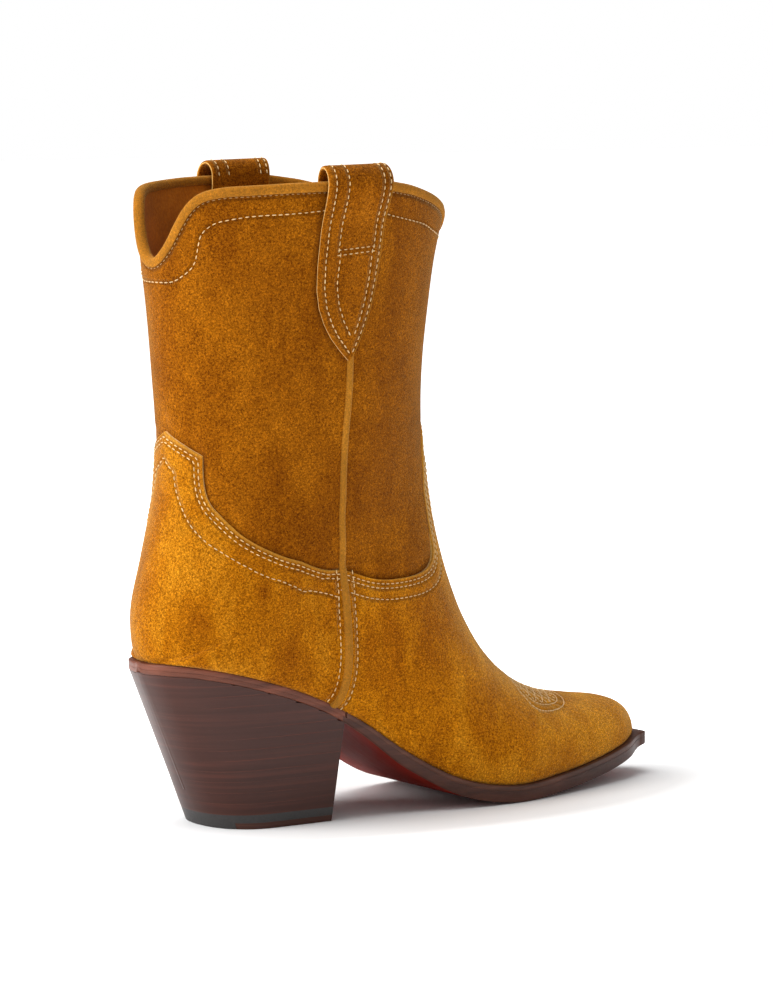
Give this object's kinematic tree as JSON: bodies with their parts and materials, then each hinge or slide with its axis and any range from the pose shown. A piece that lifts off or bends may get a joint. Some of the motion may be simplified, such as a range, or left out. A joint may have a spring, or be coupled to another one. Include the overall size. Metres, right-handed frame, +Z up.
{
  "type": "western boot",
  "caption": "Right western ankle boot in suede: pull-strap shaft with V collar, vamp and counter foxing, snip toe and slanted stacked leather heel.",
  "frame": {"origin": "on the ground, at the middle of the boot's length and width", "axes": "+X towards the toe, +Z up, -Y towards the outer side of a right foot; the heel top piece stands on z = 0"},
  "size_m": [0.2605, 0.1026, 0.2744],
  "materials": {
    "suede": "napped suede",
    "suede_binding": "napped suede",
    "lining_leather": "matte",
    "stiffener_board": "matte",
    "insole_board": "matte",
    "edge_leather": "waxed",
    "rand_leather": "waxed",
    "filler_cork": "cork",
    "shank_steel": "brushed",
    "sole_leather": "painted, semi-gloss",
    "stacked_leather": "polished",
    "top_rubber": "matte"
  },
  "bodies": {
    "root": {"counter_foxing": "suede", "vamp": "suede", "shaft_back": "suede", "shaft_front": "suede", "side_piping_outer": "suede", "side_piping_inner": "suede", "pull_strap_outer": "suede", "pull_strap_inner": "suede", "collar_binding": "suede_binding", "shaft_lining_back": "lining_leather", "shaft_lining_front": "lining_leather", "heel_lining": "lining_leather", "vamp_lining": "lining_leather", "heel_stiffener": "stiffener_board", "toe_puff": "stiffener_board", "insole": "insole_board", "sock_lining": "lining_leather", "welt_strip": "edge_leather", "heel_rand": "rand_leather", "forepart_filler": "filler_cork", "shank": "shank_steel", "outsole_board": "sole_leather", "heel_lift_01": "stacked_leather", "heel_lift_02": "stacked_leather", "heel_lift_03": "stacked_leather", "heel_lift_04": "stacked_leather", "heel_lift_05": "stacked_leather", "heel_lift_06": "stacked_leather", "heel_lift_07": "stacked_leather", "heel_lift_08": "stacked_leather", "heel_lift_09": "stacked_leather", "heel_lift_10": "stacked_leather", "heel_lift_11": "stacked_leather", "heel_lift_12": "stacked_leather", "heel_lift_13": "stacked_leather", "top_piece_rubber": "top_rubber", "top_piece_leather": "stacked_leather"}
  },
  "joints": []
}
